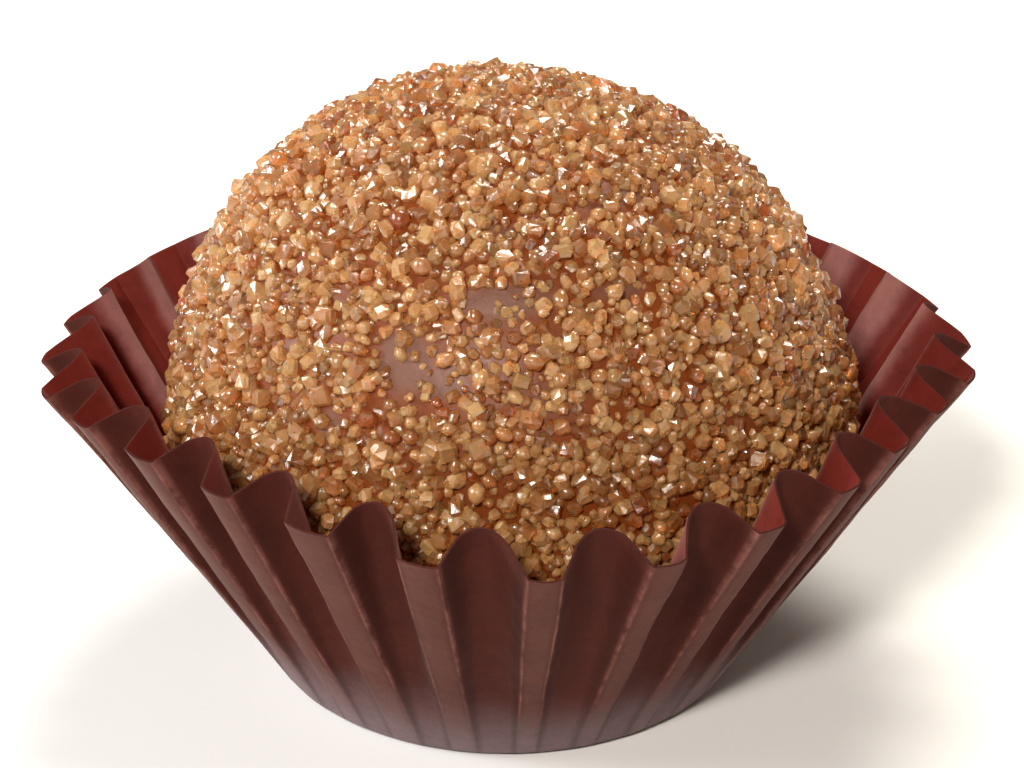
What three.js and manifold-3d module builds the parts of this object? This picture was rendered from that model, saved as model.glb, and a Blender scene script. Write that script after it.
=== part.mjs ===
// A brigadeiro: a soft ball of milk fudge rolled in coarse golden sugar, pressed into its pleated paper case.
// Millimetres, +Z up. The origin is the centre of the case's underside, and -Y is the front.

import * as THREE from "three";
import { mergeVertices } from "three/addons/utils/BufferGeometryUtils.js";
import Module from "manifold-3d";

const wasm = await Module();
wasm.setup();

// ---- Driving dimensions ----

// Paper case: a flat paper disc pressed into a cup, so its paper has the same length from floor to rim all round.
const CASE_FLOOR_RADIUS = 10.1; // where the floor and the walls would meet with no bend
const CASE_FOOT_BEND = 1.0; // radius of the bend between floor and wall
const CASE_SLANT = 16.9; // length of paper from the floor's edge to the rim
const CASE_THICKNESS = 0.25;
const PLEATS = 27;
const FIRST_PLEAT = -166.6; // degrees round from +X to an outer crease
const WALL_SLOPE = 59.2; // degrees above the floor, half way between outer and inner folds
const FOLD_SLOPE = 3.7; // degrees that outer folds lie flatter, and inner folds steeper
const FOLD_GROWTH = 0.4; // how quickly the folds deepen up the wall; 0 would open them from the floor
const INNER_FOLD = 0.5; // share of a pleat from its outer fold to its inner one
// The floor is pressed a little off the middle: [waves round the case, mm, lead in degrees].
const FLOOR_WAVES = [[1, 0.15, 170]];
// The hand-opened walls lean out more in some directions: the same, in degrees of slope.
const SLOPE_WAVES = [
  [1, 2.3, 122],
  [3, 1.19, 73],
  [4, 1.98, 151],
  [6, 0.32, 121],
  [8, 0.34, 155],
];
// No two pleats are quite as wide: the same, in degrees that the creases are shifted.
const CREASE_WAVES = [
  [1, 0.78, 99],
  [2, 3.35, 78],
  [3, 0.9, -65],
  [5, 0.58, -64],
];
// Nor is the inner fold quite in the middle of each: the same, as a share of a pleat.
const INNER_WAVES = [
  [1, 0.06, -114],
  [3, 0.1, -40],
];
// Towards the back the folds are pulled shallower, by this share, between two places given as shares of the way back.
const SHALLOW = 0.6;
const SHALLOW_FROM = 0.05;
const SHALLOW_TO = 0.5;
const PLEAT_FACETS = 6;
const WALL_RINGS = [0.3, 0.62, 1]; // shares of the way up the paper with a ring of mesh points

// Sweet
const SWEET_RADIUS = 14.5; // of the fudge and the bed of small sugar on it, without the crystals that stand out
const SWEET_CENTRE = 11.6; // height above the floor's underside
const SWEET_FLOOR_GAP = 0.3;
const SWEET_WALL_GAP = 0.6;
const SQUASH_BLEND = 0.9; // over this distance the ball turns from round to pressed against the case
// Hand rolling leaves the ball uneven: [degrees round from +X, degrees up, spread in degrees, height in mm].
const BULGES = [
  [182, 55, 21, 0.35],
  [27, 73, 23, -0.35],
  [-62, 18, 28, 0.14],
  [-128, 12, 26, -0.12],
  [96, 38, 32, 0.25],
  [52, 8, 24, -0.2],
  [-2, -2, 18, 0.45],
];
const BED_DETAIL = 9; // rows of facets between two edges of the icosahedron that the ball is worked from
const GRAIN_RELIEF = 0.16; // how far the bed of small sugar rises and falls
const GRAIN_FROM = -0.5; // height at which the relief starts, as a share of the radius over the ball's centre

// Sugar crystals that stand out of the bed
const CRYSTALS = 250;
const CRYSTAL_SIZE = [0.85, 1.25]; // length of the longest side
const CRYSTAL_SLIMMEST = 0.65; // shortest side as a share of the longest
const BLOCK_SHARE = 0.86; // side of a block as a share of the crystal's size
const ROUNDED_REACH = 0.55; // reach of a rounded crystal's corners, as a share of its size
const CRYSTAL_CHIPPED = 0.08; // how far a corner may be off, as a share of the sides
const CRYSTAL_PROUD = [-0.08, 0.12]; // height of a crystal's middle over the bed
const CRYSTAL_STRAY = [0.3, 2.9]; // off its even place: share of a step down the ball, and degrees round it
const ROUNDED_SHARE = 0.25; // share of the crystals whose corners are worn away
const SUGARED_FROM = 8.2; // lowest crystal's height
const WALL_CLEARANCE = 0.35; // kept between a crystal and the paper
const SEED = 26;

const { degToRad, clamp, lerp, smoothstep, seededRandom } = THREE.MathUtils;

// ---- Paper case ----

// Sum of waves round the case, at an angle in radians.
function waves(list, angle) {
  return list.reduce((sum, [count, height, lead]) => sum + height * Math.cos(count * angle + degToRad(lead)), 0);
}

// Angle round the case in radians of a point across one pleat, from 0, its outer fold, over 0.5, its inner one, to 1.
function pleatAngle(pleat, across) {
  const start = FIRST_PLEAT + (pleat * 360) / PLEATS;
  const inner = INNER_FOLD + waves(INNER_WAVES, degToRad(start + 180 / PLEATS));
  const share = across ** (Math.log(inner) / Math.log(0.5));
  const even = degToRad(start + (share * 360) / PLEATS);
  return even + degToRad(waves(CREASE_WAVES, even));
}

// Radius at which the floor and the wall would meet with no bend, at an angle in radians.
function floorRadius(angle) {
  return CASE_FLOOR_RADIUS + waves(FLOOR_WAVES, angle);
}

// Slope of the wall in radians, at an angle, a distance up the paper, and a fold from 0, inner, to 1, outer.
function wallSlope(angle, up, fold) {
  const crease = WALL_SLOPE - FOLD_SLOPE + waves(SLOPE_WAVES, angle);
  const growth = clamp(up / CASE_SLANT, 0, 1) ** FOLD_GROWTH;
  const depth = 1 - SHALLOW * smoothstep(Math.sin(angle), SHALLOW_FROM, SHALLOW_TO);
  return degToRad(crease + 2 * FOLD_SLOPE * growth * depth * (1 - fold));
}

// [radius, height] of the paper's outside at an angle, a distance up the wall and a fold.
function wallPoint(angle, up, fold) {
  const slope = wallSlope(angle, up, fold);
  const tangent = CASE_FOOT_BEND * Math.tan(slope / 2);
  if (up >= tangent) return [floorRadius(angle) + up * Math.cos(slope), up * Math.sin(slope)];
  const turned = slope * ((up + tangent) / (2 * tangent));
  return [
    floorRadius(angle) - tangent + CASE_FOOT_BEND * Math.sin(turned),
    CASE_FOOT_BEND * (1 - Math.cos(turned)),
  ];
}

// Closed mesh of a pleated shell: the outside from rings of wall points, the inside set in by the paper's thickness.
function makeCaseGeometry() {
  const tangent = CASE_FOOT_BEND * Math.tan(degToRad(WALL_SLOPE - FOLD_SLOPE) / 2);
  const heights = [-tangent, 0, tangent, ...WALL_RINGS.map((share) => share * CASE_SLANT)];
  const around = PLEATS * PLEAT_FACETS;
  const outside = heights.map((up) =>
    Array.from({ length: around }, (_, i) => {
      const across = (i % PLEAT_FACETS) / PLEAT_FACETS;
      const angle = pleatAngle(Math.floor(i / PLEAT_FACETS), across);
      const [radius, height] = wallPoint(angle, up, (1 + Math.cos(2 * Math.PI * across)) / 2);
      return new THREE.Vector3(radius * Math.cos(angle), radius * Math.sin(angle), up < 0 ? 0 : height);
    }),
  );
  const inside = outside.map((ring, row) =>
    ring.map((point, i) => {
      if (row === 0) return point.clone().setZ(CASE_THICKNESS);
      const below = outside[row - 1][i];
      const above = outside[Math.min(row + 1, outside.length - 1)][i];
      const across = ring[(i + 1) % around].clone().sub(ring[(i + around - 1) % around]);
      const inwards = across.cross(above.clone().sub(below)).normalize().negate();
      return point.clone().addScaledVector(inwards, CASE_THICKNESS);
    }),
  );
  const points = [...outside, ...inside].flat();
  const underside = points.push(new THREE.Vector3(0, 0, 0)) - 1;
  const floorTop = points.push(new THREE.Vector3(0, 0, CASE_THICKNESS)) - 1;
  const at = (row, i) => row * around + (i % around);
  const rows = outside.length;
  const faces = [];
  const quad = (a, b, c, d) => faces.push(a, b, c, a, c, d);
  for (let i = 0; i < around; i++) {
    for (let row = 0; row < rows - 1; row++) {
      quad(at(row, i), at(row, i + 1), at(row + 1, i + 1), at(row + 1, i));
      quad(at(rows + row, i + 1), at(rows + row, i), at(rows + row + 1, i), at(rows + row + 1, i + 1));
    }
    quad(at(rows - 1, i), at(rows - 1, i + 1), at(2 * rows - 1, i + 1), at(2 * rows - 1, i));
    faces.push(underside, at(0, i + 1), at(0, i));
    faces.push(floorTop, at(rows, i), at(rows, i + 1));
  }
  return new THREE.BufferGeometry().setFromPoints(points).setIndex(faces);
}

// ---- Sweet ----

// Radius that the inside of the inner folds leaves free at an angle and a height.
function freeRadius(angle, height) {
  let up = height;
  for (let pass = 0; pass < 3; pass++) up = height / Math.sin(wallSlope(angle, up, 0));
  return floorRadius(angle) + up * Math.cos(wallSlope(angle, up, 0)) - CASE_THICKNESS;
}

// The smaller of two lengths, with the corner between them rounded off.
function softLeast(a, b) {
  const near = Math.max(0, SQUASH_BLEND - Math.abs(a - b)) / SQUASH_BLEND;
  return Math.min(a, b) - (near * near * SQUASH_BLEND) / 4;
}

// Unit vector that points an angle round from +X and an angle up, in radians.
function pointing(round, up) {
  return new THREE.Vector3(Math.cos(up) * Math.cos(round), Math.cos(up) * Math.sin(round), Math.sin(up));
}

// Height of the hand-rolled unevenness in a direction from the sweet's centre.
function bulge(direction) {
  return BULGES.reduce((sum, [round, up, spread, height]) => {
    const away = direction.angleTo(pointing(degToRad(round), degToRad(up))) / degToRad(spread);
    return sum + height * Math.exp(-away * away);
  }, 0);
}

// Point of the bed's surface in a direction from the sweet's centre, raised by a height.
function sweetPoint(direction, raised = 0) {
  const { x, y, z } = direction;
  const reach = SWEET_RADIUS + bulge(direction) + raised;
  const floor = CASE_THICKNESS + SWEET_FLOOR_GAP;
  const height = -softLeast(-(SWEET_CENTRE + reach * z), -floor);
  const angle = Math.atan2(y, x);
  const free = height < CASE_SLANT ? freeRadius(angle, Math.max(height, 0)) - SWEET_WALL_GAP : Infinity;
  const radius = softLeast(reach * Math.hypot(x, y), free);
  return new THREE.Vector3(radius * Math.cos(angle), radius * Math.sin(angle), height);
}

// Random number from low to high, from the seeded sequence.
function between(low, high) {
  return lerp(low, high, seededRandom());
}

// The pressed ball, its surface broken up by the bed of small crystals.
function makeBedGeometry() {
  const geometry = bare(new THREE.IcosahedronGeometry(1, BED_DETAIL));
  const places = geometry.getAttribute("position");
  const direction = new THREE.Vector3();
  for (let i = 0; i < places.count; i++) {
    direction.fromBufferAttribute(places, i).normalize();
    const grain = direction.z > GRAIN_FROM ? between(-GRAIN_RELIEF, GRAIN_RELIEF) : 0;
    const point = sweetPoint(direction, grain);
    places.setXYZ(i, point.x, point.y, point.z);
  }
  return geometry;
}

// One crystal about the origin: a chipped block, or one with its corners worn away.
function makeCrystalGeometry() {
  const length = between(...CRYSTAL_SIZE);
  const sides = [length, length * between(CRYSTAL_SLIMMEST, 1), length * between(CRYSTAL_SLIMMEST, 1)];
  const rounded = seededRandom() < ROUNDED_SHARE;
  const block = new THREE.BoxGeometry(BLOCK_SHARE, BLOCK_SHARE, BLOCK_SHARE);
  const geometry = bare(rounded ? new THREE.IcosahedronGeometry(ROUNDED_REACH, 0) : block);
  const places = geometry.getAttribute("position");
  for (let i = 0; i < places.count; i++) {
    const chipped = sides.map(() => between(-CRYSTAL_CHIPPED, CRYSTAL_CHIPPED));
    places.setXYZ(
      i,
      (places.getX(i) + chipped[0]) * sides[0],
      (places.getY(i) + chipped[1]) * sides[1],
      (places.getZ(i) + chipped[2]) * sides[2],
    );
  }
  return geometry;
}

// Directions spread evenly round the ball, by turning each by the golden angle from the last.
function spreadDirections(count) {
  const goldenAngle = Math.PI * (3 - Math.sqrt(5));
  const lowest = (SUGARED_FROM - SWEET_CENTRE) / SWEET_RADIUS;
  const [down, round] = CRYSTAL_STRAY;
  return Array.from({ length: count }, (_, i) => {
    const steep = Math.asin(lerp(1, lowest, (i + 0.5 + between(-down, down)) / count));
    return pointing(i * goldenAngle + degToRad(between(-round, round)), steep);
  });
}

// True where a crystal's corners all keep clear of the paper.
function clearOfCase(geometry) {
  const places = geometry.getAttribute("position");
  for (let i = 0; i < places.count; i++) {
    const [x, y, z] = [places.getX(i), places.getY(i), places.getZ(i)];
    if (z < CASE_SLANT && Math.hypot(x, y) > freeRadius(Math.atan2(y, x), z) - WALL_CLEARANCE) return false;
  }
  return true;
}

// The sweet: the bed with its largest crystals fused on.
function makeSweetGeometry() {
  seededRandom(SEED);
  let sweet = toSolid(makeBedGeometry());
  for (const direction of spreadDirections(CRYSTALS)) {
    const place = sweetPoint(direction, between(...CRYSTAL_PROUD));
    const turn = new THREE.Euler(between(0, Math.PI), between(0, Math.PI), between(0, Math.PI));
    const crystal = makeCrystalGeometry()
      .applyMatrix4(new THREE.Matrix4().makeRotationFromEuler(turn))
      .translate(place.x, place.y, place.z);
    if (clearOfCase(crystal)) sweet = sweet.add(toSolid(crystal));
  }
  return toGeometry(sweet);
}

// ---- Meshes and solids ----

// A geometry with only positions, its shared corners merged.
function bare(geometry) {
  geometry.deleteAttribute("normal");
  geometry.deleteAttribute("uv");
  return mergeVertices(geometry, 1e-4);
}

function toSolid(geometry) {
  return new wasm.Manifold(
    new wasm.Mesh({
      numProp: 3,
      vertProperties: new Float32Array(geometry.getAttribute("position").array),
      triVerts: new Uint32Array(geometry.index.array),
    }),
  );
}

function toGeometry(solid) {
  const mesh = solid.getMesh();
  return new THREE.BufferGeometry()
    .setAttribute("position", new THREE.BufferAttribute(mesh.vertProperties, mesh.numProp))
    .setIndex(new THREE.BufferAttribute(mesh.triVerts, 1));
}

// A named mesh that shows its facets.
function makePiece(name, geometry, color, roughness) {
  const flat = geometry.toNonIndexed();
  flat.computeVertexNormals();
  const piece = new THREE.Mesh(flat, new THREE.MeshStandardMaterial({ color, roughness, metalness: 0 }));
  piece.name = name;
  return piece;
}

const brigadeiro = new THREE.Group();
brigadeiro.add(
  makePiece("paper_case", makeCaseGeometry(), 0x5e342e, 0.65),
  makePiece("sugared_sweet", makeSweetGeometry(), 0xb98552, 0.4),
);

export default brigadeiro;
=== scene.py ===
import math
import random

import bmesh
import bpy
import numpy as np
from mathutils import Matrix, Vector


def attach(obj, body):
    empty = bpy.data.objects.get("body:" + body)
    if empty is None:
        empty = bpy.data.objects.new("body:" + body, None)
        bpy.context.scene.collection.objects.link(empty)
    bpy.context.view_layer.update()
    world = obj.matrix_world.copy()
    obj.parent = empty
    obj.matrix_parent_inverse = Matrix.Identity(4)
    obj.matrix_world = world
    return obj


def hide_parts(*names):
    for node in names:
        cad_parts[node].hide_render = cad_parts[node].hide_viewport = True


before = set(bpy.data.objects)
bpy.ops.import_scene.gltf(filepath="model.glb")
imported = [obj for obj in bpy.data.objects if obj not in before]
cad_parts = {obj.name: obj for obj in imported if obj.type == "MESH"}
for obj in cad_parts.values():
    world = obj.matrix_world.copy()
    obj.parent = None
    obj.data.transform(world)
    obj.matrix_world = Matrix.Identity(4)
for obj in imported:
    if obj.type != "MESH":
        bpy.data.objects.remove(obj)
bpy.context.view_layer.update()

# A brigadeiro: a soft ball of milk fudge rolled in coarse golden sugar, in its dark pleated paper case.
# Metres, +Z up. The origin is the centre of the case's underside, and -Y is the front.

bl_info = {
    "name": "Brigadeiro",
    "version": (1, 0, 0),
    "blender": (4, 5, 0),
    "location": "View3D > Sidebar > Brigadeiro",
    "description": "Makes a sugared fudge ball in a pleated paper case",
    "category": "Object",
}

MM = 0.001
TURN = 2 * math.pi

# ---- Shape of the paper case, as in the solid model ----

# The floor is pressed a little off the middle: (waves round the case, height, lead in degrees).
FLOOR_WAVES = [(1, 0.15 * MM, 170)]
# The hand-opened walls lean out more in some directions: the same, in degrees of slope.
SLOPE_WAVES = [(1, 2.3, 122), (3, 1.19, 73), (4, 1.98, 151), (6, 0.32, 121), (8, 0.34, 155)]
# No two pleats are quite as wide: the same, in degrees that the creases are shifted.
CREASE_WAVES = [(1, 0.78, 99), (2, 3.35, 78), (3, 0.9, -65), (5, 0.58, -64)]
# Nor is the inner fold quite in the middle of each: the same, as a share of a pleat.
INNER_WAVES = [(1, 0.06, -114), (3, 0.1, -40)]
# Towards the back the folds grow shallower, between these two shares of the way from the middle to the back.
SHALLOW_FROM, SHALLOW_TO = 0.05, 0.5

# ---- Shape of the sweet ----

# Hand rolling leaves the ball uneven: (degrees round from +X, degrees up, spread in degrees, height).
BULGES = [
    (182, 55, 21, 0.35 * MM),
    (27, 73, 23, -0.35 * MM),
    (-62, 18, 28, 0.14 * MM),
    (-128, 12, 26, -0.12 * MM),
    (96, 38, 32, 0.25 * MM),
    (52, 8, 24, -0.2 * MM),
    (-2, -2, 18, 0.45 * MM),
]

# Places with little sugar: (degrees round from +X, degrees up, half width and half height in degrees,
# share of the sugar that is missing).
BARE_PATCHES = [
    (-92, 42, 10, 3.2, 0.85),
    (-110, 31, 5.5, 6.5, 0.82),
    (-100, 29, 4, 3.5, 0.75),
    (-66, 42, 6, 2.2, 0.75),
    (-132, 28, 6, 2.4, 0.6),
    (-121, 18, 3, 5.5, 0.65),
    (-51, 58, 12, 2.4, 0.6),
    (-92, 54, 4, 2.2, 0.65),
    (-82, 25, 7, 4, 0.5),
]


# ---- Sizes and colours ----


def srgb(*levels):
    """A colour for a shader from its 0 to 255 screen values, by the curve that screens use."""
    shares = [level / 255 for level in levels]
    return tuple(((share + 0.055) / 1.055) ** 2.4 if share > 0.04045 else share / 12.92 for share in shares)


def length(name, description, default):
    """A length in metres."""
    return bpy.props.FloatProperty(
        name=name, description=description, default=default, unit="LENGTH", precision=5
    )


def angle(name, description, default):
    """An angle, from its default in degrees."""
    return bpy.props.FloatProperty(
        name=name, description=description, default=math.radians(default), unit="ROTATION"
    )


def number(name, description, default):
    """A plain number."""
    return bpy.props.FloatProperty(name=name, description=description, default=default)


def count(name, description, default):
    """A whole number."""
    return bpy.props.IntProperty(name=name, description=description, default=default)


def colour(name, description, default):
    """A colour, from its screen values."""
    return bpy.props.FloatVectorProperty(
        name=name, description=description, default=srgb(*default), subtype="COLOR", min=0, max=1
    )


class CaseSizes(bpy.types.PropertyGroup):
    """Sizes and colours of the paper case."""

    floor_radius: length("Floor Radius", "Where the floor and the wall would meet with no bend", 10.1 * MM)
    foot_bend: length("Foot Bend", "Radius of the bend between floor and wall", 1.0 * MM)
    slant: length("Slant", "Length of paper from the floor's edge to the rim", 16.9 * MM)
    paper: length("Paper", "Thickness of the paper", 0.09 * MM)
    pleats: count("Pleats", "Folds round the case", 27)
    first_pleat: angle("First Pleat", "Angle of one outer fold round from +X", -166.6)
    wall_slope: angle("Wall Slope", "Above the floor, half way between outer and inner folds", 59.2)
    fold_slope: angle("Fold Slope", "How much flatter outer folds lie, and how much steeper inner ones", 3.7)
    fold_growth: number("Fold Growth", "How quickly the folds deepen up the wall", 0.4)
    shallow: number("Shallow", "How much shallower the folds are at the back, as a share", 0.6)
    inner_fold: number("Inner Fold", "Share of a pleat from its outer fold to its inner one", 0.5)
    strip: number("Strip", "Half width of the flat strip on an outer fold, as a share of a pleat", 0.17)
    strip_spread: number("Strip Spread", "How far the widths of strips differ, as a share", 0.2)
    sway: length("Sway", "How far the handled wall bends off its rule", 0.16 * MM)
    crumple: length("Crumple", "Height of the small crumples in the paper", 0.05 * MM)
    colour: colour("Paper", "Colour of the outside in the valleys", (74, 34, 27))
    # painted light on the outer folds: the strips are drawn lighter than the painted shade of the valleys
    strip_colour: colour("Strip", "Colour of the outer folds, where the dye has rubbed off", (90, 54, 46))
    # paler and greyer towards the foot: painted light reflected from the floor
    foot_colour: colour("Foot", "Colour of the foot, where the press has rubbed it grey", (138, 122, 126))
    # the inside is painted lighter and redder than the outside as painted light; its valleys hold painted
    # shade
    inside_colour: colour("Inside", "Colour of the inside in its valleys", (108, 38, 30))
    # painted light and sheen on the inner folds at the back
    crest_colour: colour("Crests", "Colour of the inner folds, where the dye has rubbed off", (146, 98, 94))
    # the crease lines are partly worn dye and partly a painted highlight along the crease
    worn_colour: colour("Worn Crease", "Colour where a fold or the rim has cracked the dye", (140, 96, 88))


class SweetSizes(bpy.types.PropertyGroup):
    """Sizes and colours of the ball of fudge."""

    radius: length("Radius", "Of the ball of fudge without its sugar", 14.38 * MM)
    centre: length("Centre", "Height of the ball's middle", 11.6 * MM)
    floor_gap: length("Floor Gap", "Free height over the case's floor", 0.55 * MM)
    wall_gap: length("Wall Gap", "Distance kept from the outside of the inner folds", 0.85 * MM)
    squash_blend: length("Squash Blend", "Distance over which round turns to pressed", 0.9 * MM)
    colour: colour("Fudge", "Colour of the fudge where it is bare", (109, 73, 59))
    # under the sugar the fudge is painted darker and amber: painted light through the crystals and painted
    # shade between them
    stained_colour: colour("Stained Fudge", "Colour of the fudge that sugar syrup has soaked", (112, 52, 13))


class SugarSizes(bpy.types.PropertyGroup):
    """Sizes and colours of the sugar coat."""

    lowest: length("Lowest", "Height at which the coat ends inside the case", 7.6 * MM)
    large: length("Large", "Size of the large crystals", 0.78 * MM)
    medium: length("Medium", "Size of the medium crystals", 0.65 * MM)
    fine: length("Fine", "Size of the fine crystals", 0.42 * MM)
    spread: number("Spread", "How far sizes differ, as a share", 0.26)
    large_share: number("Large Share", "Share of the places for large crystals that are taken", 0.55)
    dust: number("Dust", "Share of the fine crystals that stick where the fudge is bare", 0.12)
    deepest: number("Deepest", "Lowest middle of a crystal over the fudge, as a share of its size", -0.2)
    highest: number("Highest", "Highest middle of a crystal over the fudge, as a share of its size", 0.32)
    tilt: angle("Tilt", "How far crystals lean from lying flat", 38)
    seed: count("Seed", "Number that fixes every random draw", 26)
    straw: colour("Straw", "Colour of the palest crystals", (255, 201, 122))
    gold: colour("Gold", "Colour of most crystals", (255, 179, 96))
    amber: colour("Amber", "Colour of the darkest crystals", (246, 140, 60))
    flaw_colour: colour("Flaws", "Colour of the cracks and bubbles inside the crystals", (255, 215, 156))


class StageSizes(bpy.types.PropertyGroup):
    """The floor, the light and the camera."""

    floor: colour("Floor", "Colour of the floor and backdrop", (226, 226, 226))
    distance: length("Distance", "From the camera to the middle of the sweet", 140 * MM)
    elevation: angle("Elevation", "Of the camera above the table", 25.6)
    target: length("Target", "Height that the camera looks at", 12 * MM)
    focal: number("Focal Length", "In millimetres, on a sensor 36 mm wide", 113.5)


# ---- Node trees ----


class Amount:
    """A number in a node tree that works in ordinary arithmetic: each step adds a Math node."""

    def __init__(self, tree, socket):
        self.tree = tree
        self.socket = socket

    def step(self, operation, *others):
        node = self.tree.nodes.new("ShaderNodeMath")
        node.operation = operation
        for value, socket in zip((self, *others), node.inputs):
            feed(self.tree, value, socket)
        return Amount(self.tree, node.outputs[0])

    def __add__(self, other):
        return self.step("ADD", other)

    def __sub__(self, other):
        return self.step("SUBTRACT", other)

    def __mul__(self, other):
        return self.step("MULTIPLY", other)

    def __truediv__(self, other):
        return self.step("DIVIDE", other)

    def __pow__(self, other):
        return self.step("POWER", other)

    def __rsub__(self, other):
        return self * -1 + other

    __radd__ = __add__
    __rmul__ = __mul__

    def clamped(self, low=0.0, high=1.0):
        return self.step("MAXIMUM", low).step("MINIMUM", high)

    def ramp(self, start, end):
        """0 up to start, 1 from end on, and a soft rise between."""
        share = ((self - start) / (end - start)).clamped()
        return share * share * (3 - 2 * share)


def feed(tree, value, socket):
    """Links an amount or a socket to a node's input, or sets the input to a plain value."""
    if isinstance(value, Amount):
        value = value.socket
    if isinstance(value, bpy.types.NodeSocket):
        tree.links.new(value, socket)
    else:
        socket.default_value = value


def add_node(tree, kind, inputs=(), **settings):
    """A new node with its settings and its inputs, given as (name or number, value) pairs."""
    node = tree.nodes.new(kind)
    for name, value in settings.items():
        setattr(node, name, value)
    for name, value in inputs:
        feed(tree, value, node.inputs[name])
    return node


def in_use(sockets):
    """The sockets that a node shows with its present settings."""
    return [socket for socket in sockets if socket.enabled]


def vector(tree, x, y, z):
    """A vector socket from three amounts or numbers."""
    return add_node(tree, "ShaderNodeCombineXYZ", [("X", x), ("Y", y), ("Z", z)]).outputs[0]


def parts_of(tree, socket):
    """The three amounts in a vector socket."""
    return [Amount(tree, part) for part in add_node(tree, "ShaderNodeSeparateXYZ", [(0, socket)]).outputs]


def noise(tree, place, size, detail=2.0, rough=0.5):
    """An amount about 0.5 that rises and falls over a size in metres."""
    inputs = [("Vector", place), ("Scale", 1 / size), ("Detail", detail), ("Roughness", rough)]
    return Amount(tree, add_node(tree, "ShaderNodeTexNoise", inputs).outputs[0])


def drawn(tree, low, high, seed, kind="FLOAT", name=None):
    """A random amount for each point, or for each that has the same name, which is a number."""
    node = add_node(tree, "FunctionNodeRandomValue", [("Seed", seed)], data_type=kind)
    if name:
        feed(tree, name, node.inputs["ID"])
    for value, socket in zip((low, high), in_use(node.inputs)):
        feed(tree, value, socket)
    return Amount(tree, in_use(node.outputs)[0])


SOCKETS = {int: "NodeSocketInt", float: "NodeSocketFloat"}


def new_tree(name, inputs):
    """A Geometry Nodes tree with named inputs, and those inputs as amounts or sockets."""
    tree = bpy.data.node_groups.new(name, "GeometryNodeTree")
    tree.interface.new_socket("Geometry", in_out="INPUT", socket_type="NodeSocketGeometry")
    tree.interface.new_socket("Geometry", in_out="OUTPUT", socket_type="NodeSocketGeometry")
    for title, value in inputs.items():
        kind = SOCKETS.get(type(value), "NodeSocket" + type(value).__name__)
        tree.interface.new_socket(title, in_out="INPUT", socket_type=kind)
    entry = tree.nodes.new("NodeGroupInput")
    entries = {
        title: Amount(tree, entry.outputs[title]) if type(value) in SOCKETS else entry.outputs[title]
        for title, value in inputs.items()
    }
    return tree, entry.outputs["Geometry"], entries


def end_tree(tree, geometry, material):
    """Ends a tree in real geometry with its material."""
    real = add_node(tree, "GeometryNodeRealizeInstances", [("Geometry", geometry)])
    dyed = add_node(tree, "GeometryNodeSetMaterial", [("Geometry", real.outputs[0]), ("Material", material)])
    way_out = tree.nodes.new("NodeGroupOutput")
    tree.links.new(dyed.outputs[0], way_out.inputs[0])


def plain_mesh(thing):
    """The finished mesh of an object, with its modifiers taken up."""
    depsgraph = bpy.context.evaluated_depsgraph_get()
    return bpy.data.meshes.new_from_object(thing.evaluated_get(depsgraph), depsgraph=depsgraph)


def show(name, mesh):
    """A mesh as an object in the scene."""
    piece = bpy.data.objects.new(name, mesh)
    bpy.context.scene.collection.objects.link(piece)
    return piece


def made_by_nodes(name, tree, inputs, base=None):
    """A plain mesh object that a node tree made."""
    source = show(name + "_source", base or bpy.data.meshes.new(name + "_base"))
    modifier = source.modifiers.new(name, "NODES")
    modifier.node_group = tree
    for item in tree.interface.items_tree:
        if item.name in inputs:
            modifier[item.identifier] = inputs[item.name]
    mesh = plain_mesh(source)
    bpy.data.objects.remove(source)
    return show(name, mesh)


# ---- Paper case ----


def wave_sum(tree, waves, around):
    """Sum of waves round the case at an angle in radians, as an amount."""
    total = 0.0
    for number_round, height, lead in waves:
        wave = (around * number_round + math.radians(lead)).step("COSINE") * height
        total = wave + total
    return total


CASE_COLUMNS = 20  # of faces across one pleat
STRIP_COLUMNS = 3  # of those from the middle of an outer fold to its crease
FLOOR_ROWS = 5
BEND_ROWS = 5
WALL_ROWS = 56
STRIP_CROWN = 0.05  # how far a strip is crowned, as a share of the fold
TONGUE_FROM = 0.31  # where a flank turns into the round inner fold, as a share of a pleat
TONGUE_CROWN = 0.25  # how far that fold is rounded, as a share of the fold
STRIP_SEED = 3  # fixes the random widths of the strips
SAME_PLACE = 0.001 * MM  # points nearer than this are one point, in the floor's middle and at the seam
SWAY_SIZE = 7 * MM  # width of the broad sways
CRUMPLE_SIZE = 1.6 * MM  # width of the small crumples
HANDLED_FROM, HANDLED_TO = 0.05, 0.35  # where both set in up the wall, as shares of its slant
SHARPEST_SMOOTH = 30  # degrees at a crease, past which it looks sharp


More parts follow.
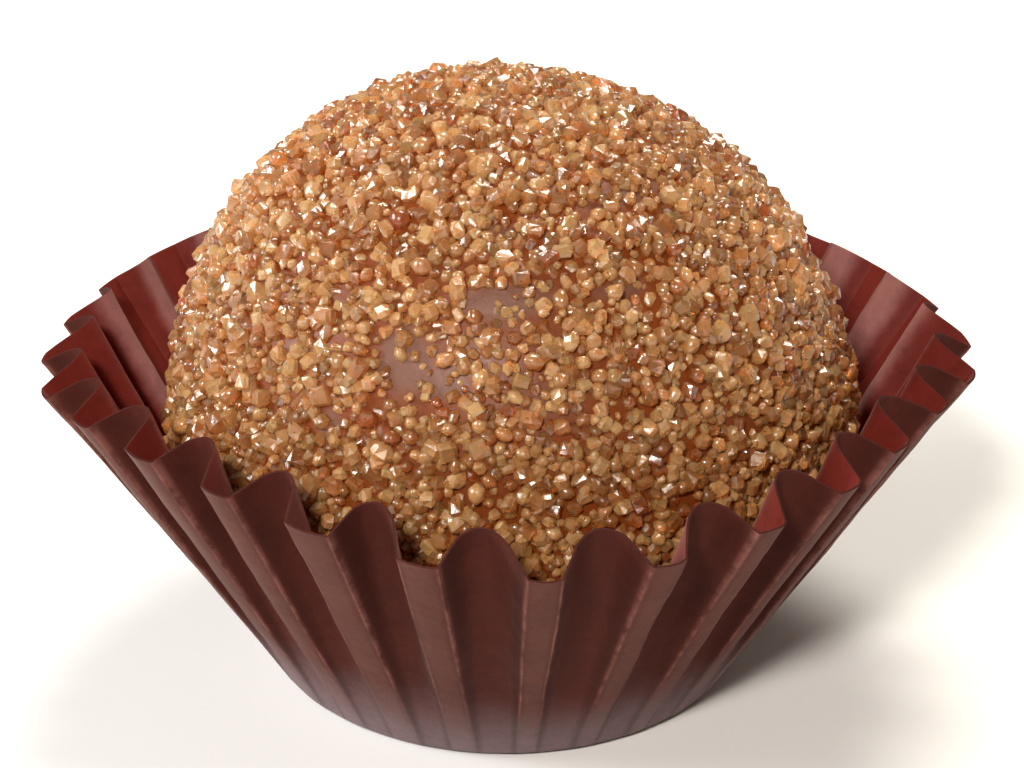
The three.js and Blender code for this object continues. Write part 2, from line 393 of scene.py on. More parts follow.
def case_tree(inputs):
    """The pleated case: one sheet of faces, bent up from a flat floor into folds."""
    tree, _, size = new_tree("Pleated case", inputs)
    columns = size["Pleats"] * CASE_COLUMNS + 1
    rows = FLOOR_ROWS + BEND_ROWS + WALL_ROWS
    grid = add_node(
        tree,
        "GeometryNodeMeshGrid",
        [("Size X", 1.0), ("Size Y", 1.0), ("Vertices X", columns), ("Vertices Y", rows + 1)],
    )
    place = tree.nodes.new("GeometryNodeInputPosition").outputs[0]
    x, y, _ = parts_of(tree, place)

    # round the case: which pleat, and how far across it, from 0 at its outer fold over 0.5 at its inner one
    pitch = size["Pleats"] ** -1 * TURN
    around = (x + 0.5) * size["Pleats"]
    pleat = around.step("FLOOR")
    column = around - pleat
    half = (around * 2).step("FLOOR")
    width = size["Strip"] * (1 + size["Strip Spread"] * drawn(tree, -1.0, 1.0, STRIP_SEED, name=half))
    off_fold = 0.5 - (column - 0.5).step("ABSOLUTE")
    crease_column = STRIP_COLUMNS / CASE_COLUMNS
    on_strip = (off_fold / crease_column).clamped()
    past_crease = ((off_fold - crease_column) / (0.5 - crease_column)).clamped()
    off_fold = width * on_strip + (0.5 - width) * past_crease
    first_half = column.step("LESS_THAN", 0.5)
    across = first_half * off_fold + (1 - first_half) * (1 - off_fold)
    start = size["First Pleat"] + pleat * pitch
    inner = size["Inner Fold"] + wave_sum(tree, INNER_WAVES, start + pitch / 2)
    share = across ** inner.step("LOGARITHM", 0.5)
    even = start + share * pitch
    round_case = even + wave_sum(tree, CREASE_WAVES, even) * math.radians(1)
    flank = ((off_fold - width) / (TONGUE_FROM - width)).clamped() * (1 - STRIP_CROWN - TONGUE_CROWN)
    tongue = ((0.5 - off_fold) / (0.5 - TONGUE_FROM)).clamped()
    fold = 1 - on_strip * on_strip * STRIP_CROWN - flank - (1 - tongue * tongue) * TONGUE_CROWN

    # up the paper: across the floor, round the bend and up the wall
    row = (y + 0.5) * rows
    opened = wave_sum(tree, SLOPE_WAVES, round_case) * math.radians(1)
    crease = size["Wall Slope"] - size["Fold Slope"] + opened
    first_tangent = size["Foot Bend"] * ((size["Wall Slope"] - size["Fold Slope"]) / 2).step("TANGENT")
    bent = ((row - FLOOR_ROWS) / BEND_ROWS).clamped()
    climbed = ((row - FLOOR_ROWS - BEND_ROWS) / WALL_ROWS).clamped()
    up = first_tangent * (bent * 2 - 1) + climbed * (size["Slant"] - first_tangent)
    growth = (up / size["Slant"]).clamped() ** size["Fold Growth"]
    depth = 1 - round_case.step("SINE").ramp(SHALLOW_FROM, SHALLOW_TO) * size["Shallow"]
    slope = crease + growth * depth * 2 * size["Fold Slope"] * (1 - fold)
    tangent = size["Foot Bend"] * (slope / 2).step("TANGENT")
    floor_edge = size["Floor Radius"] + wave_sum(tree, FLOOR_WAVES, round_case)
    turned = slope * ((up + tangent) / (tangent * 2)).clamped()
    straight = up.step("GREATER_THAN", tangent)
    bend_radius = floor_edge - tangent + size["Foot Bend"] * turned.step("SINE")
    bend_height = size["Foot Bend"] * (1 - turned.step("COSINE"))
    radius = bend_radius + straight * (floor_edge + up * slope.step("COSINE") - bend_radius)
    height = bend_height + straight * (up * slope.step("SINE") - bend_height)
    radius = radius * (row / FLOOR_ROWS).clamped()
    point = vector(tree, radius * round_case.step("COSINE"), radius * round_case.step("SINE"), height)

    # what the material and the crumples need to know about each place
    place_on_fold = vector(tree, off_fold / width, 0.0, up / size["Slant"])
    noted = add_node(
        tree,
        "GeometryNodeStoreNamedAttribute",
        [("Geometry", grid.outputs["Mesh"]), ("Name", "fold_place"), ("Value", place_on_fold)],
        data_type="FLOAT_VECTOR",
    )
    bent_up = add_node(
        tree, "GeometryNodeSetPosition", [("Geometry", noted.outputs[0]), ("Position", point)]
    )
    merged = add_node(
        tree, "GeometryNodeMergeByDistance", [("Geometry", bent_up.outputs[0]), ("Distance", SAME_PLACE)]
    )
    crumpled = crumple_nodes(tree, merged.outputs[0], size)
    smooth = add_node(tree, "GeometryNodeSetShadeSmooth", [("Geometry", crumpled)])
    end_tree(tree, smooth.outputs[0], size["Material"])
    return tree


def crumple_nodes(tree, geometry, size):
    """Pushes the wall in and out a little: broad sways, and small crumples from handling."""
    place = tree.nodes.new("GeometryNodeInputPosition").outputs[0]
    normal = tree.nodes.new("GeometryNodeInputNormal").outputs[0]
    noted = add_node(
        tree, "GeometryNodeInputNamedAttribute", [("Name", "fold_place")], data_type="FLOAT_VECTOR"
    )
    up = parts_of(tree, noted.outputs[0])[2].clamped()
    sway = (noise(tree, place, SWAY_SIZE, 1.0) - 0.5) * size["Sway"] * 2
    crumple = (noise(tree, place, CRUMPLE_SIZE, 3.0, 0.6) - 0.5) * size["Crumple"] * 2
    push = (sway + crumple) * up.ramp(HANDLED_FROM, HANDLED_TO)
    offset = add_node(tree, "ShaderNodeVectorMath", [(0, normal), ("Scale", push)], operation="SCALE")
    return add_node(
        tree, "GeometryNodeSetPosition", [("Geometry", geometry), ("Offset", offset.outputs[0])]
    ).outputs[0]


class MakePaperCase(bpy.types.Operator):
    """Makes the pleated paper case"""

    bl_idname = "brigadeiro.make_paper_case"
    bl_label = "Paper Case"

    def execute(self, context):
        sizes = context.scene.case_sizes
        inputs = {
            "Floor Radius": sizes.floor_radius,
            "Foot Bend": sizes.foot_bend,
            "Slant": sizes.slant,
            "Pleats": sizes.pleats,
            "First Pleat": sizes.first_pleat,
            "Wall Slope": sizes.wall_slope,
            "Fold Slope": sizes.fold_slope,
            "Fold Growth": sizes.fold_growth,
            "Shallow": sizes.shallow,
            "Inner Fold": sizes.inner_fold,
            "Strip": sizes.strip,
            "Strip Spread": sizes.strip_spread,
            "Sway": sizes.sway,
            "Crumple": sizes.crumple,
            "Material": paper_outside(sizes),
        }
        sheet = made_by_nodes("case_sheet", case_tree(inputs), inputs)
        face_outwards(sheet.data)
        sheet.data.materials.append(paper_inside(sizes))
        sheet.data.materials.append(paper_edge(sizes))
        thickness = sheet.modifiers.new("paper", "SOLIDIFY")
        thickness.thickness = sizes.paper
        thickness.offset = -1
        thickness.material_offset = 1
        thickness.material_offset_rim = 2
        case = show("pleated_case", plain_mesh(sheet))
        case.data.set_sharp_from_angle(angle=math.radians(SHARPEST_SMOOTH))
        bpy.data.objects.remove(sheet)
        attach(case, "root")
        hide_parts("paper_case")
        return {"FINISHED"}


def face_outwards(mesh):
    """Turns an open cup's faces so that its underside looks down."""
    lowest = min(mesh.polygons, key=lambda face: face.center.z)
    if lowest.normal.z > 0:
        mesh.flip_normals()


# ---- Sweet ----

ROUNDS_TO_SLOPE = 4  # after these the wall's slope and a place up the wall fit each other
COAT_END = 1.2 * MM  # height over which the coat thins out at its lower end
BALL_DIVISIONS = 6


def waves_at(waves, around):
    """Sum of waves round the case at an angle in radians."""
    return sum(
        height * np.cos(number_round * around + math.radians(lead)) for number_round, height, lead in waves
    )


def free_radius(case, around, height):
    """Radius inside the outside of the inner folds, at an angle and a height."""
    crease = case.wall_slope - case.fold_slope + np.radians(waves_at(SLOPE_WAVES, around))
    back = np.clip((np.sin(around) - SHALLOW_FROM) / (SHALLOW_TO - SHALLOW_FROM), 0, 1)
    depth = 1 - back * back * (3 - 2 * back) * case.shallow
    up = height
    for _ in range(ROUNDS_TO_SLOPE):
        growth = np.clip(up / case.slant, 0, 1) ** case.fold_growth
        slope = crease + 2 * case.fold_slope * growth * depth
        up = height / np.sin(slope)
    return case.floor_radius + waves_at(FLOOR_WAVES, around) + up * np.cos(slope)


def soft_least(a, b, blend):
    """The smaller of two lengths, with the corner between them rounded off."""
    near = np.maximum(0, blend - np.abs(a - b)) / blend
    return np.minimum(a, b) - near * near * blend / 4


def pointing(around, up):
    """Unit vector that points an angle round from +X and an angle up, in degrees."""
    around, up = math.radians(around), math.radians(up)
    return np.array([math.cos(up) * math.cos(around), math.cos(up) * math.sin(around), math.sin(up)])


def pressed_ball(directions, sweet, case):
    """Points of the fudge in unit directions from its middle: a rolled ball, pressed into the case."""
    reach = np.full(len(directions), sweet.radius)
    for around, up, spread, height in BULGES:
        away = np.degrees(np.arccos(np.clip(directions @ pointing(around, up), -1, 1))) / spread
        reach += height * np.exp(-away * away)
    height = -soft_least(-(sweet.centre + reach * directions[:, 2]), -sweet.floor_gap, sweet.squash_blend)
    around = np.arctan2(directions[:, 1], directions[:, 0])
    free = free_radius(case, around, np.maximum(height, 0)) - sweet.wall_gap
    free = np.where(height < case.slant, free, np.inf)
    across = reach * np.hypot(directions[:, 0], directions[:, 1])
    radius = soft_least(across, np.where(np.isinf(free), across + sweet.radius, free), sweet.squash_blend)
    return np.stack([radius * np.cos(around), radius * np.sin(around), height], axis=1)


def sugar_cover(directions, places, sugar):
    """How thickly sugar lies in each direction, from 0 to 1."""
    cover = np.ones(len(directions))
    up = np.degrees(np.arcsin(np.clip(directions[:, 2], -1, 1)))
    around = np.degrees(np.arctan2(directions[:, 1], directions[:, 0]))
    for patch_round, patch_up, half_width, half_height, bareness in BARE_PATCHES:
        aside = ((around - patch_round + 180) % 360 - 180) * np.cos(np.radians(patch_up)) / half_width
        above = (up - patch_up) / half_height
        cover *= 1 - bareness * np.exp(-(aside**2 + above**2) ** 1.5)
    return cover * np.clip((places[:, 2] - sugar.lowest) / COAT_END, 0, 1)


class MakeFudgeBall(bpy.types.Operator):
    """Makes the ball of fudge"""

    bl_idname = "brigadeiro.make_fudge_ball"
    bl_label = "Fudge Ball"

    def execute(self, context):
        sweet = context.scene.sweet_sizes
        form = bmesh.new()
        bmesh.ops.create_icosphere(form, subdivisions=BALL_DIVISIONS, radius=1)
        mesh = bpy.data.meshes.new("fudge_ball")
        form.to_mesh(mesh)
        form.free()
        directions = np.empty(3 * len(mesh.vertices))
        mesh.vertices.foreach_get("co", directions)
        directions = directions.reshape(-1, 3)
        directions /= np.linalg.norm(directions, axis=1, keepdims=True)
        places = pressed_ball(directions, sweet, context.scene.case_sizes)
        mesh.vertices.foreach_set("co", places.ravel())
        cover = mesh.attributes.new("cover", "FLOAT", "POINT")
        cover.data.foreach_set("value", sugar_cover(directions, places, context.scene.sugar_sizes))
        mesh.shade_smooth()
        mesh.materials.append(milk_fudge(sweet))
        ball = show("fudge_ball", mesh)
        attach(ball, "root")
        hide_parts("sugared_sweet")
        return {"FINISHED"}


# ---- Sugar ----

GRAIN_FORMS = 12
GRAIN_SEED = 5  # fixes their random shapes

# A crystal's shape, as shares of its length.
GRAIN_WIDTH = (0.72, 1)
GRAIN_HEIGHT = (0.66, 0.95)
GRAIN_LEAN = 0.2
WORN_EDGES = (0.17, 0.23, 0.28, 0.33)
ROUND_FROM = 0.3  # a crystal with edges worn more than this looks round
CORNER_SHIFT = 0.09  # of the block's own corners
CHIP = 0.06  # of the corners that its worn edges leave

# Least spacing of crystals on the fudge, as shares of their size.
LARGE_SPACING = 1.5
MEDIUM_SPACING = 0.65
FINE_SPACING = 0.74
CROWDING = 3  # places tried in each square of the spacing

# How near crystals come to larger ones: a share of the larger size, and a share of their own.
OFF_LARGE = (0.5, 0.2)
FINE_OFF_MEDIUM = (0.34, 0.08)


def shift_corners(form, draw, reach):
    """Moves each corner of a form at random."""
    for corner in form.verts:
        corner.co += Vector([draw.uniform(-reach, reach) for _ in range(3)])


def grain(name, draw, worn):
    """One crystal about 1 long: a chipped, leaning block with its edges worn off."""
    form = bmesh.new()
    bmesh.ops.create_cube(form, size=1)
    sides = Vector((1, draw.uniform(*GRAIN_WIDTH), draw.uniform(*GRAIN_HEIGHT)))
    lean = draw.uniform(-GRAIN_LEAN, GRAIN_LEAN)
    for corner in form.verts:
        corner.co *= sides
        corner.co.x += lean * corner.co.z
    shift_corners(form, draw, CORNER_SHIFT)
    bmesh.ops.bevel(form, geom=form.edges[:], offset=worn, segments=1, affect="EDGES", clamp_overlap=True)
    shift_corners(form, draw, CHIP)
    mesh = bpy.data.meshes.new(name)
    form.to_mesh(mesh)
    form.free()
    if worn > ROUND_FROM:
        mesh.shade_smooth()
    return bpy.data.objects.new(name, mesh)


def grain_box():
    """A hidden collection of crystal forms to pick from."""
    draw = random.Random(GRAIN_SEED)
    box = bpy.data.collections.new("grains")
    for form in range(GRAIN_FORMS):
        box.objects.link(grain(f"grain_{form}", draw, WORN_EDGES[form % len(WORN_EDGES)]))
    return box


def scattered(tree, skin, spacing, cover, seed):
    """Points spread over the skin at least a spacing apart, thinner where the cover is."""
    node = add_node(
        tree,
        "GeometryNodeDistributePointsOnFaces",
        [
            ("Mesh", skin),
            ("Distance Min", spacing),
            ("Density Max", (spacing * spacing) ** -1 * CROWDING),
            ("Density Factor", cover),
            ("Seed", seed),
        ],
        distribute_method="POISSON",
    )
    return node.outputs["Points"], node.outputs["Rotation"]


def clear_of(tree, points, side, larger, larger_side, shares):
    """Points without those that lie too near the points of larger crystals."""
    nearest = add_node(tree, "GeometryNodeProximity", [("Geometry", larger)], target_element="POINTS")
    distance = larger_side * shares[0] + side * shares[1]
    close = Amount(tree, nearest.outputs["Distance"]).step("LESS_THAN", distance)
    return add_node(
        tree, "GeometryNodeDeleteGeometry", [("Geometry", points), ("Selection", close)], domain="POINT"
    ).outputs[0]


def sugar_tree(inputs, tier):
    """One size of crystals on the skin. Larger ones take their places first, and smaller ones fill in."""
    tree, skin, size = new_tree("Sugar coat", inputs)
    attribute = add_node(tree, "GeometryNodeInputNamedAttribute", [("Name", "cover")], data_type="FLOAT")
    cover = Amount(tree, attribute.outputs[0])
    taken = cover * size["Large Share"]
    large, turn = scattered(tree, skin, size["Large"] * LARGE_SPACING, taken, size["Seed"])
    points, side = large, size["Large"]
    if tier != "large":
        side = size["Medium"]
        medium, turn = scattered(tree, skin, side * MEDIUM_SPACING, cover, size["Seed"] + 1)
        medium = clear_of(tree, medium, side, large, size["Large"], OFF_LARGE)
        points = medium
    if tier == "fine":
        side = size["Fine"]
        taken = cover * (1 - size["Dust"]) + size["Dust"]
        fine, turn = scattered(tree, skin, side * FINE_SPACING, taken, size["Seed"] + 2)
        fine = clear_of(tree, fine, side, large, size["Large"], OFF_LARGE)
        points = clear_of(tree, fine, side, medium, size["Medium"], FINE_OFF_MEDIUM)

    # each point's own size, place in or on the fudge, turn and tint
    side = side * drawn(tree, 1 - size["Spread"], 1 + size["Spread"], size["Seed"] + 3)
    tint = drawn(tree, 0.0, 1.0, size["Seed"] + 4)
    noted = add_node(
        tree,
        "GeometryNodeStoreNamedAttribute",
        [("Geometry", points), ("Name", "tint"), ("Value", tint)],
        data_type="FLOAT",
    )
    lift = side * drawn(tree, size["Deepest"], size["Highest"], size["Seed"] + 5)
    normal = add_node(tree, "FunctionNodeRotateVector", [(0, vector(tree, 0.0, 0.0, 1.0)), (1, turn)])
    offset = add_node(
        tree, "ShaderNodeVectorMath", [(0, normal.outputs[0]), ("Scale", lift)], operation="SCALE"
    )
    spin = vector(
        tree,
        drawn(tree, -1.0, 1.0, size["Seed"] + 6) * size["Tilt"],
        drawn(tree, -1.0, 1.0, size["Seed"] + 7) * size["Tilt"],
        drawn(tree, 0.0, TURN, size["Seed"] + 8),
    )
    lean = add_node(tree, "FunctionNodeEulerToRotation", [(0, spin)])
    rotation = add_node(
        tree, "FunctionNodeRotateRotation", [(0, turn), (1, lean.outputs[0])], rotation_space="LOCAL"
    )
    placed = add_node(
        tree, "GeometryNodeSetPosition", [("Geometry", noted.outputs[0]), ("Offset", offset.outputs[0])]
    )
    forms = add_node(
        tree,
        "GeometryNodeCollectionInfo",
        [("Collection", size["Grains"]), ("Separate Children", True), ("Reset Children", True)],
    )
    coat = add_node(
        tree,
        "GeometryNodeInstanceOnPoints",
        [
            ("Points", placed.outputs[0]),
            ("Instance", forms.outputs[0]),
            ("Pick Instance", True),
            ("Instance Index", drawn(tree, 0, GRAIN_FORMS - 1, size["Seed"] + 9, "INT")),
            ("Rotation", rotation.outputs[0]),
            ("Scale", vector(tree, side, side, side)),
        ],
    )
    end_tree(tree, coat.outputs[0], size["Material"])
    return tree


class MakeSugar(bpy.types.Operator):
    """Makes the crystals that coat the fudge, one piece for each size"""

    bl_idname = "brigadeiro.make_sugar"
    bl_label = "Sugar"

    def execute(self, context):
        sugar = context.scene.sugar_sizes
        skin = bpy.data.objects["fudge_ball"].data
        inputs = {
            "Large": sugar.large,
            "Medium": sugar.medium,
            "Fine": sugar.fine,
            "Large Share": sugar.large_share,
            "Dust": sugar.dust,
            "Spread": sugar.spread,
            "Deepest": sugar.deepest,
            "Highest": sugar.highest,
            "Tilt": sugar.tilt,
            "Seed": sugar.seed,
            "Grains": grain_box(),
            "Material": sugar_crystal(sugar),
        }
        for tier in ("large", "medium", "fine"):
            coat = made_by_nodes(f"{tier}_sugar", sugar_tree(inputs, tier), inputs, skin.copy())
            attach(coat, "root")
            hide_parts("sugared_sweet")
        return {"FINISHED"}


# ---- Materials ----


def new_material(name):
    """A material with its node tree, its shader and the coordinates of the object."""
    material = bpy.data.materials.new(name)
    material.use_nodes = True
    tree = material.node_tree
    coordinates = tree.nodes.new("ShaderNodeTexCoord").outputs["Object"]
    return material, tree, tree.nodes["Principled BSDF"], coordinates


def blend_colours(tree, share, first, second):
    """A colour between two, by a share."""
    node = add_node(tree, "ShaderNodeMix", data_type="RGBA")
    for value, socket in zip((share, first, second), in_use(node.inputs)):
        feed(tree, value, socket)
    return in_use(node.outputs)[0]


def dyed(tree, tone, brightness):
    """A colour made lighter or darker by an amount."""
    node = add_node(tree, "ShaderNodeVectorMath", operation="SCALE")
    feed(tree, tone, node.inputs[0])
    feed(tree, brightness, node.inputs["Scale"])
    return node.outputs[0]


def rough_up(tree, shader, height, depth, layers=("Normal",)):
    """Low relief from an amount, as deep as a length in metres, in some of the shader's layers."""
    bump = add_node(tree, "ShaderNodeBump", [("Height", height), ("Distance", depth), ("Strength", 1.0)])
    for layer in layers:
        tree.links.new(bump.outputs[0], shader.inputs[layer])


def set_values(shader, **values):
    """Sets a shader's own sockets, named with _ for a space."""
    for name, value in values.items():
        shader.inputs[name.replace("_", " ")].default_value = value


# Sizes of the paper's patterns and depth of its relief.
DYE_CLOUDS = 2.2 * MM
RUBBED_PATCHES = 1.1 * MM
MOTTLE = 0.5 * MM
PAPER_FIBRES = 0.13 * MM
CUT_FIBRES = 0.2 * MM
PAPER_RELIEF = 0.02 * MM
CREASE_LINE = 0.16  # half width of the pale line on a crease, worn dye with a painted highlight, where a strip's half width is 1


def waxed_paper(name, case, colours, lightness, crease_wear_and_shade, sheen):
    """Dyed baking paper: clouds in the dye, painted light on some folds and painted shade in others, and on
    the creases broken pale lines of worn dye and painted highlight.

    The painted lightness is worked out from a place's distance off its outer fold, which is 1 on a crease,
    and its distance behind the middle.
    """
    dark_colour, light_colour, low_colour = colours
    material, tree, shader, place = new_material(name)
    noted = add_node(tree, "ShaderNodeAttribute", attribute_name="fold_place")
    off_fold, _, up = parts_of(tree, noted.outputs["Vector"])
    clouds = noise(tree, place, DYE_CLOUDS, 4.0, 0.6)
    mottle = noise(tree, place, MOTTLE, 3.0, 0.65)
    fibres = noise(tree, place, PAPER_FIBRES, 2.0, 0.6)
    rubbed = noise(tree, place, RUBBED_PATCHES, 4.0, 0.7)

    # what each place gets: painted light on folds, pale crease lines of wear and painted highlight, painted
    # shade beside them and a grey foot of painted floor reflection
    light = lightness(off_fold + (rubbed - 0.5) * 0.5, parts_of(tree, place)[1])
    # pale line on each crease: partly worn dye, partly a painted highlight
    crease = 1 - ((off_fold - 1).step("ABSOLUTE") / CREASE_LINE).clamped()
    line = crease * rubbed.ramp(0.3, 0.7) * up.ramp(0.1, 0.4)
    # painted shade in the hollow beside each crease
    corner = off_fold.ramp(1.0, 1.3) * (1 - off_fold.ramp(1.3, 2.0))
    # towards the foot the colour turns to the low colour; on the outside this is the painted floor
    # reflection
    foot = (1 - (up + (clouds - 0.5) * 0.15).ramp(-0.05, 0.35)) * 0.7

    ground = blend_colours(tree, light, (*dark_colour, 1), (*light_colour, 1))
    ground = blend_colours(tree, foot, ground, (*low_colour, 1))
    shade = 0.58 + clouds * 0.55 + (mottle - 0.5) * 0.35 + (fibres - 0.5) * 0.2
    # the painted shade beside the creases darkens the tone
    tone = dyed(tree, ground, shade * (1 - corner * crease_wear_and_shade * 0.5))
    tone = blend_colours(tree, (line * crease_wear_and_shade).clamped(), tone, (*case.worn_colour, 1))
    tree.links.new(tone, shader.inputs["Base Color"])
    feed(tree, (0.5 + clouds * 0.2).clamped(), shader.inputs["Roughness"])
    rough_up(tree, shader, fibres * 0.4 + mottle, PAPER_RELIEF)
    set_values(shader, IOR=1.5, Specular_IOR_Level=sheen, Sheen_Weight=sheen, Sheen_Roughness=0.3)
    set_values(shader, Sheen_Tint=(1, 0.86, 0.82, 1))
    set_values(shader, Subsurface_Weight=0.3, Subsurface_Radius=(1.0, 0.3, 0.24), Subsurface_Scale=0.3 * MM)
    return material


def paper_outside(case):
    """The outside of the case, with painted shade in the valleys between its strips and painted light on the
    strips.
    """
    colours = (case.colour, case.strip_colour, case.foot_colour)

    def lightness(off_fold, _):
        # painted light on the strips, painted shade in the valleys
        return 1 - off_fold.ramp(0.5, 1.2)

    return waxed_paper("paper_outside", case, colours, lightness, crease_wear_and_shade=0.6, sheen=0.04)


def paper_inside(case):
    """The inside of the case, painted lighter and redder than the outside as painted light, with painted
    shade in its valleys and at the back painted light on the folds that stand in.
    """
    colours = (case.inside_colour, case.crest_colour, case.inside_colour)

    def lightness(off_fold, behind):
        # painted light on the inner folds at the back, painted shade in the valleys
        return off_fold.ramp(1.5, 2.5) * behind.ramp(1 * MM, 4.5 * MM)

    return waxed_paper("paper_inside", case, colours, lightness, crease_wear_and_shade=0.1, sheen=0.1)


def paper_edge(case):
    """The cut edge of the paper, darker than its faces."""
    material, tree, shader, place = new_material("paper_edge")
    fibres = noise(tree, place, CUT_FIBRES, 3.0, 0.6)
    tree.links.new(dyed(tree, (*case.colour,), 0.3 + fibres * 0.6), shader.inputs["Base Color"])
    set_values(shader, Roughness=0.8, Specular_IOR_Level=0.1)
    return material


# Sizes of the fudge's patterns and depth of its relief.
FUDGE_CLOUDS = 2.5 * MM
FUDGE_GRIT = 0.3 * MM
FUDGE_RELIEF = 0.04 * MM


def milk_fudge(sweet):
    """Soft cooked-milk fudge: greasy and mauve where bare, and under the sugar a darker amber, painted light
    through the crystals and painted shade between them.
    """
    material, tree, shader, place = new_material("milk_fudge")
    noted = add_node(tree, "ShaderNodeAttribute", attribute_name="cover")
    cover = Amount(tree, noted.outputs["Fac"])
    clouds = noise(tree, place, FUDGE_CLOUDS, 3.0)
    grit = noise(tree, place, FUDGE_GRIT, 3.0, 0.6)
    # painted light and shade under the sugar, where it lies thick
    soaked = (cover + (clouds - 0.5) * 0.6).ramp(0.25, 0.85)
    ground = blend_colours(tree, soaked, (*sweet.colour, 1), (*sweet.stained_colour, 1))
    tree.links.new(dyed(tree, ground, 0.75 + clouds * 0.3 + grit * 0.2), shader.inputs["Base Color"])
    feed(tree, 0.28 + grit * 0.3, shader.inputs["Roughness"])
    rough_up(tree, shader, grit * 0.5 + clouds, FUDGE_RELIEF)
    set_values(shader, IOR=1.46, Specular_IOR_Level=0.28)
    set_values(shader, Subsurface_Weight=0.3, Subsurface_Radius=(1.0, 0.45, 0.25), Subsurface_Scale=0.6 * MM)
    return material


# Sizes of the patterns in a crystal and depth of the relief on it.
CRYSTAL_CLOUDS = 0.34 * MM
CRYSTAL_CRACKS = 0.14 * MM
CRYSTAL_RELIEF = 0.025 * MM
SECOND_DRAW = 7.3  # turns a crystal's tint into another random number, as the fraction of their product


def sugar_crystal(sugar):
    """Raw sugar: glassy grains, clouded and cracked inside, from pale straw to amber."""
    material, tree, shader, place = new_material("sugar_crystal")
    noted = add_node(tree, "ShaderNodeAttribute", attribute_name="tint")
    tint = Amount(tree, noted.outputs["Fac"])
    cloudy = noise(tree, place, CRYSTAL_CLOUDS)
    cracks = noise(tree, place, CRYSTAL_CRACKS)
    shade = (tint * SECOND_DRAW).step("FRACT")
    pale = blend_colours(tree, tint.ramp(0.0, 0.3), (*sugar.straw, 1), (*sugar.gold, 1))
    tone = blend_colours(tree, tint.ramp(0.7, 1.1), pale, (*sugar.amber, 1))
    flaws = (shade * 0.5 + (cloudy.ramp(0.3, 0.7) - 0.5) * 0.4).clamped()
    tree.links.new(blend_colours(tree, flaws, tone, (*sugar.flaw_colour, 1)), shader.inputs["Base Color"])
    feed(tree, 0.15 + cloudy * 0.32, shader.inputs["Roughness"])
    feed(tree, 0.92 - shade * 0.27, shader.inputs["Transmission Weight"])
    rough_up(tree, shader, cloudy + cracks * 0.4, CRYSTAL_RELIEF, layers=("Normal", "Coat Normal"))
    set_values(shader, IOR=1.54)
    set_values(shader, Subsurface_Weight=0.25, Subsurface_Radius=(1.0, 0.6, 0.3), Subsurface_Scale=0.3 * MM)
    set_values(shader, Coat_Weight=0.5, Coat_Roughness=0.03)
    return material


# ---- Stage ----

# Square soft lights: (name, place, length of a side, watts, colour).
LIGHTS = [
    ("key_light", (-0.09, -0.34, 0.29), 0.06, 2.12, (1.0, 0.93, 0.85)),
    ("back_light", (0.06, 0.20, 0.38), 0.16, 1.8, (1.0, 0.94, 0.84)),
    ("left_light", (-0.42, -0.05, 0.20), 0.16, 1.95, (0.93, 0.98, 1.0)),
    ("right_light", (0.42, -0.08, 0.16), 0.16, 0.12, (1.0, 0.6, 0.35)),
]
ROOM_COLOUR = (1, 0.87, 0.74)
ROOM_LIGHT = 0.14

# The floor and backdrop.
HALF_WIDTH = 1.5
FRONT_EDGE = -1.5
BACKDROP = 0.9  # behind the sweet
BACKDROP_TOP = 1.6
BEND_RADIUS = 0.3
BEND_STEPS = 9

SENSOR = 36  # width in millimetres
NEAREST_SEEN = 0.01
VIEW_SHIFT = (0.0038, 0.0113)  # of the frame's middle off the sweet, as a share of its width


class MakeStage(bpy.types.Operator):
    """Makes the floor and backdrop, the lights and the camera"""

    bl_idname = "brigadeiro.make_stage"
    bl_label = "Stage"

    def execute(self, context):
        stage = context.scene.stage_sizes
        seamless_sweep(stage)
        middle = Vector((0, 0, stage.target))
        for light in LIGHTS:
            soft_light(middle, *light)
        world = bpy.data.worlds.new("studio")
        world.use_nodes = True
        set_values(world.node_tree.nodes["Background"], Color=(*ROOM_COLOUR, 1), Strength=ROOM_LIGHT)
        context.scene.world = world
        context.scene.view_settings.view_transform = "Standard"
        context.scene.camera = long_lens(stage)
        return {"FINISHED"}


def seamless_sweep(stage):
    """A pale floor that bends up into a backdrop."""
    bend_from = BACKDROP - BEND_RADIUS
    profile = [(FRONT_EDGE, 0), (bend_from, 0)]
    for part in range(1, BEND_STEPS + 1):
        turn = math.radians(90 * part / BEND_STEPS)
        height = BEND_RADIUS - BEND_RADIUS * math.cos(turn)
        profile.append((bend_from + BEND_RADIUS * math.sin(turn), height))
    profile.append((BACKDROP, BACKDROP_TOP))
    points = [(side * HALF_WIDTH, y, z) for y, z in profile for side in (-1, 1)]
    faces = [(2 * i, 2 * i + 1, 2 * i + 3, 2 * i + 2) for i in range(len(profile) - 1)]
    mesh = bpy.data.meshes.new("seamless_sweep")
    mesh.from_pydata(points, [], faces)
    mesh.shade_smooth()
    material, _, shader, _ = new_material("pale_paper")
    set_values(shader, Base_Color=(*stage.floor, 1), Roughness=0.8)
    mesh.materials.append(material)
    return show("seamless_sweep", mesh)


def soft_light(target, name, place, size, power, tone):
    """A square soft light that shines on the sweet."""
    light = bpy.data.lights.new(name, "AREA")
    light.size = size
    light.energy = power
    light.color = tone
    lamp = bpy.data.objects.new(name, light)
    lamp.location = place
    lamp.rotation_euler = (target - lamp.location).to_track_quat("-Z", "Y").to_euler()
    bpy.context.scene.collection.objects.link(lamp)


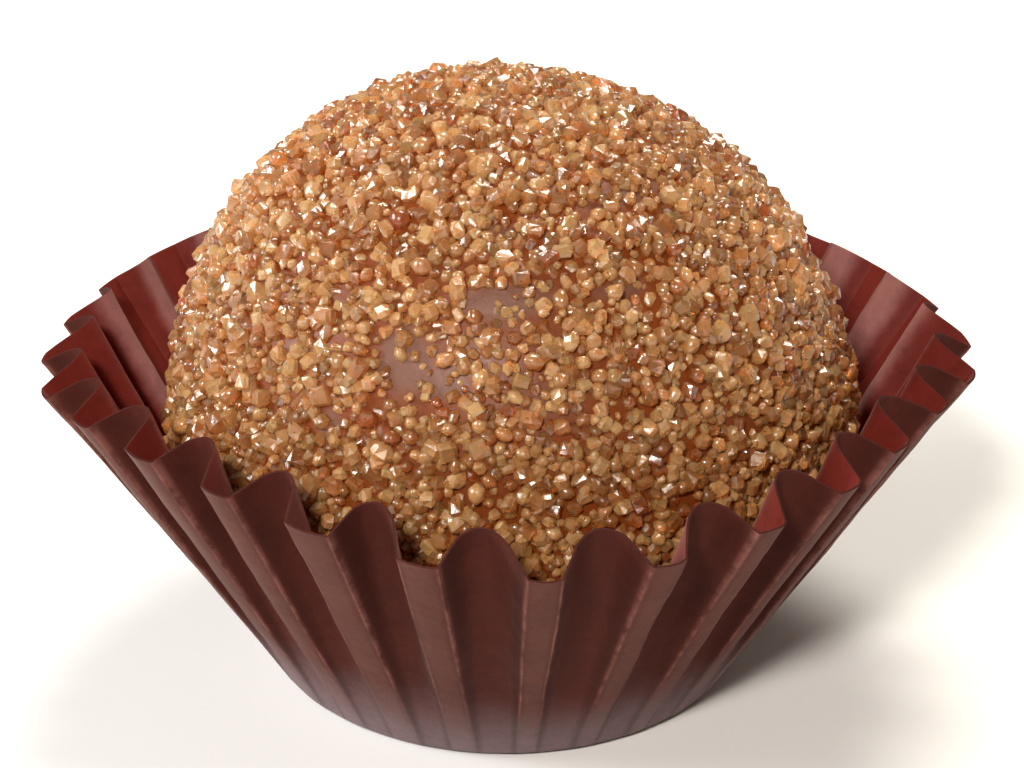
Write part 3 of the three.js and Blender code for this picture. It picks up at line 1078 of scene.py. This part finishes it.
def long_lens(stage):
    """A camera in front of the sweet and above it, with a long lens."""
    camera = bpy.data.objects.new("camera", bpy.data.cameras.new("camera"))
    camera.data.lens = stage.focal
    camera.data.sensor_width = SENSOR
    camera.data.clip_start = NEAREST_SEEN
    camera.data.shift_x, camera.data.shift_y = VIEW_SHIFT
    away = Vector((0, -math.cos(stage.elevation), math.sin(stage.elevation)))
    target = Vector((0, 0, stage.target))
    camera.location = target + away * stage.distance
    camera.rotation_euler = (-away).to_track_quat("-Z", "Y").to_euler()
    bpy.context.scene.collection.objects.link(camera)
    return camera


# ---- Add-on ----


class BrigadeiroPanel(bpy.types.Panel):
    """Lists what the sweet is made of"""

    bl_idname = "VIEW3D_PT_brigadeiro"
    bl_label = "Brigadeiro"
    bl_space_type = "VIEW_3D"
    bl_region_type = "UI"
    bl_category = "Brigadeiro"

    def draw(self, context):
        for maker, settings in STEPS:
            box = self.layout.box()
            box.operator(maker.bl_idname)
            group = getattr(context.scene, settings)
            for name in type(group).__annotations__:
                box.prop(group, name)


GROUPS = {
    "case_sizes": CaseSizes,
    "sweet_sizes": SweetSizes,
    "sugar_sizes": SugarSizes,
    "stage_sizes": StageSizes,
}
STEPS = [
    (MakePaperCase, "case_sizes"),
    (MakeFudgeBall, "sweet_sizes"),
    (MakeSugar, "sugar_sizes"),
    (MakeStage, "stage_sizes"),
]
CLASSES = [*GROUPS.values(), *[maker for maker, _ in STEPS], BrigadeiroPanel]


def register():
    for kind in CLASSES:
        bpy.utils.register_class(kind)
    for name, kind in GROUPS.items():
        setattr(bpy.types.Scene, name, bpy.props.PointerProperty(type=kind))


def unregister():
    for name in GROUPS:
        delattr(bpy.types.Scene, name)
    for kind in reversed(CLASSES):
        bpy.utils.unregister_class(kind)


def main():
    register()
    bpy.ops.brigadeiro.make_paper_case()
    bpy.ops.brigadeiro.make_fudge_ball()
    bpy.ops.brigadeiro.make_sugar()
    bpy.ops.brigadeiro.make_stage()


if __name__ == "__main__":
    main()
